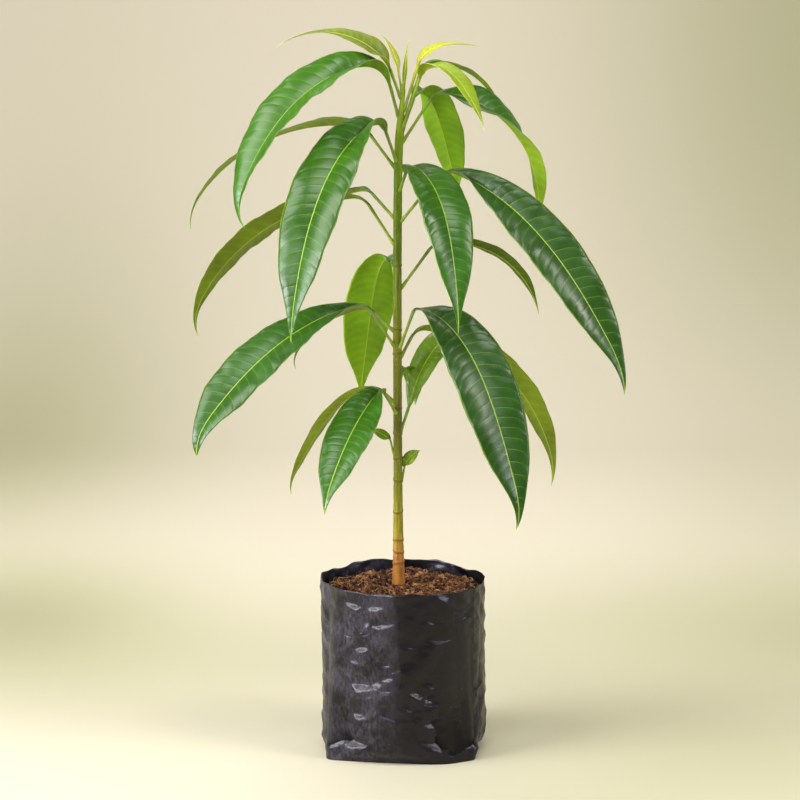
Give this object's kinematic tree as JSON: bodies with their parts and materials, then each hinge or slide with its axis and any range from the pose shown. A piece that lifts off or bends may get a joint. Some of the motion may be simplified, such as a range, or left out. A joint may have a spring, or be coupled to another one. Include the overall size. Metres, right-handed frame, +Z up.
{
  "type": "potted mango tree sapling",
  "caption": "Young mango tree with one slender stem and long drooping glossy leaves, growing in a black plastic nursery grow bag filled with potting soil.",
  "frame": {"origin": "centre of the grow bag's flat underside, on the ground", "axes": "+Z up along the stem, -Y towards the front, +X to the right of the front"},
  "size_m": [0.377, 0.2106, 0.6359],
  "materials": {
    "black_film": "thin black polythene film, wrinkled, half glossy",
    "potting_soil": "loose moist coir and peat crumbs",
    "green_bark": "smooth green bark, corky brown at the foot",
    "mature_leaf": "glossy dark green leaf with pale veins",
    "young_leaf": "soft yellow-green young leaf"
  },
  "bodies": {
    "root": {"grow_bag": "black_film", "potting_soil": "potting_soil", "stem": "green_bark", "leaf_01": "mature_leaf", "leaf_02": "mature_leaf", "leaf_03": "mature_leaf", "leaf_04": "mature_leaf", "leaf_05": "mature_leaf", "leaf_06": "mature_leaf", "leaf_07": "mature_leaf", "leaf_08": "mature_leaf", "leaf_09": "mature_leaf", "leaf_10": "mature_leaf", "leaf_11": "mature_leaf", "leaf_12": "mature_leaf", "leaf_13": "mature_leaf", "leaf_14": "mature_leaf", "leaf_15": "mature_leaf", "leaf_16": "mature_leaf", "leaf_17": "mature_leaf", "leaf_18": "mature_leaf", "leaf_19": "mature_leaf", "leaf_20": "mature_leaf", "leaf_21": "young_leaf", "leaf_22": "young_leaf", "leaf_23": "mature_leaf", "leaf_24": "young_leaf", "leaf_25": "young_leaf", "leaf_26": "young_leaf", "leaf_27": "young_leaf"}
  },
  "joints": []
}
